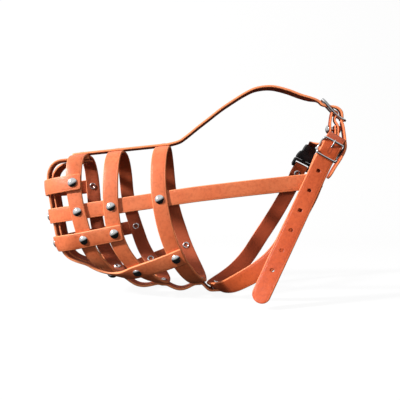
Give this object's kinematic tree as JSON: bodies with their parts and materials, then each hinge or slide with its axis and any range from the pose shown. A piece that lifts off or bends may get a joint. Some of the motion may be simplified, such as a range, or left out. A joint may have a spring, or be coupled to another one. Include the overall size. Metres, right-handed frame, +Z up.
{
  "type": "basket muzzle",
  "caption": "Leather basket muzzle: riveted hoops and bands round the snout, with neck and crown straps, two prong buckles and a side-release clasp.",
  "frame": {"origin": "middle of the pad of the bridge strap, on its underside between the middle and rear hoops, where it rests on the bridge of the nose", "axes": "+X towards the neck along the length of the muzzle, +Z up, -Y the near side with the neck buckle, +Y the far side with the clasp"},
  "size_m": [0.3188, 0.1269, 0.219],
  "materials": {
    "basket_leather": "smooth vegetable-tanned leather, satin, lighter cut edges",
    "harness_leather": "smooth leather, satin, a little darker than the basket",
    "nickel": "bright nickel plate",
    "clasp_plastic": "black moulded plastic, glossy"
  },
  "bodies": {
    "basket": {"bridge_strap": "basket_leather", "chin_strap_far": "basket_leather", "chin_strap_near": "basket_leather", "floor_strap": "basket_leather", "hoop_front": "basket_leather", "hoop_middle": "basket_leather", "hoop_rear": "basket_leather", "nose_band_lower": "basket_leather", "nose_band_middle": "basket_leather", "nose_band_upper": "basket_leather", "rivet_front_chin_far": "nickel", "rivet_front_chin_near": "nickel", "rivet_front_lower_far": "nickel", "rivet_front_lower_near": "nickel", "rivet_front_middle_far": "nickel", "rivet_front_middle_near": "nickel", "rivet_front_roof": "nickel", "rivet_front_upper_far": "nickel", "rivet_front_upper_near": "nickel", "rivet_middle_chin_far": "nickel", "rivet_middle_chin_near": "nickel", "rivet_middle_floor": "nickel", "rivet_middle_lower_far": "nickel", "rivet_middle_lower_near": "nickel", "rivet_middle_middle_far": "nickel", "rivet_middle_middle_near": "nickel", "rivet_middle_roof": "nickel", "rivet_nose_lower_far": "nickel", "rivet_nose_lower_near": "nickel", "rivet_nose_middle_far": "nickel", "rivet_nose_middle_near": "nickel", "rivet_rear_chin_far": "nickel", "rivet_rear_chin_near": "nickel", "rivet_rear_floor": "nickel", "rivet_rear_middle_far": "nickel", "rivet_rear_middle_near": "nickel", "rivet_rear_roof": "nickel"},
    "harness": {"cheek_strap_near": "harness_leather", "cheek_strap_far": "harness_leather", "throat_strap": "harness_leather", "nape_strap_near": "harness_leather", "crown_strap": "harness_leather", "crown_loop": "harness_leather", "clasp_plug": "clasp_plastic", "rivet_cheek_near": "nickel", "rivet_cheek_far": "nickel", "rivet_clasp_fold": "nickel", "rivet_crown_loop": "nickel", "rivet_throat_floor": "nickel"},
    "neck_frame": {"neck_buckle_frame": "nickel"},
    "neck_prong": {"neck_buckle_prong": "nickel"},
    "crown_frame": {"crown_buckle_frame": "nickel"},
    "crown_prong": {"crown_buckle_prong": "nickel"},
    "socket": {"clasp_socket": "clasp_plastic", "nape_strap_far": "harness_leather"},
    "arm_front": {"clasp_arm_front": "clasp_plastic"},
    "arm_rear": {"clasp_arm_rear": "clasp_plastic"},
    "neck_tail": {"neck_strap_tail": "harness_leather"},
    "crown_tail": {"crown_strap_tail": "harness_leather"}
  },
  "joints": [
    {"name": "harness_swing", "type": "hinge", "parent": "basket", "child": "harness", "pos_m": [0.03653, 0, -0.05181], "axis": [0, -1, 0], "range_deg": [-1.5, 2.5]},
    {"name": "neck_frame_rock", "type": "hinge", "parent": "harness", "child": "neck_frame", "pos_m": [0.18233, -0.0565, -0.00971], "axis": [0.8772, 0, -0.4801], "range_deg": [-0.8, 0.8]},
    {"name": "neck_prong_lift", "type": "hinge", "parent": "neck_frame", "child": "neck_prong", "pos_m": [0.18233, -0.0565, -0.00971], "axis": [0.8772, 0, -0.4801], "range_deg": [0, 20]},
    {"name": "crown_frame_rock", "type": "hinge", "parent": "harness", "child": "crown_frame", "pos_m": [0.20693, 0, 0.03819], "axis": [0.1727, 0.9679, 0.1828], "range_deg": [-0.8, 0.8]},
    {"name": "crown_prong_lift", "type": "hinge", "parent": "crown_frame", "child": "crown_prong", "pos_m": [0.20693, 0, 0.03819], "axis": [0.1727, 0.9679, 0.1828], "range_deg": [0, 20]},
    {"name": "clasp_slide", "type": "slide", "parent": "harness", "child": "socket", "axis": [0.4438, -0.1429, 0.8846], "range_m": [0, 0.022]},
    {"name": "arm_front_squeeze", "type": "hinge", "parent": "harness", "child": "arm_front", "pos_m": [0.18081, 0.04895, -0.00435], "axis": [0.0241, 0.9887, 0.1477], "range_deg": [0, 7]},
    {"name": "arm_rear_squeeze", "type": "hinge", "parent": "harness", "child": "arm_rear", "pos_m": [0.19246, 0.04953, -0.0101], "axis": [0.0241, 0.9887, 0.1477], "range_deg": [-7, 0]},
    {"name": "neck_tail_swing", "type": "hinge", "parent": "harness", "child": "neck_tail", "pos_m": [0.17719, -0.059, -0.0191], "axis": [-0.8772, 0, 0.4801], "range_deg": [0, 30]},
    {"name": "crown_tail_swing", "type": "hinge", "parent": "harness", "child": "crown_tail", "pos_m": [0.21503, -0.0003, 0.02689], "axis": [0.1727, 0.9679, 0.1828], "range_deg": [-10, 0]}
  ]
}
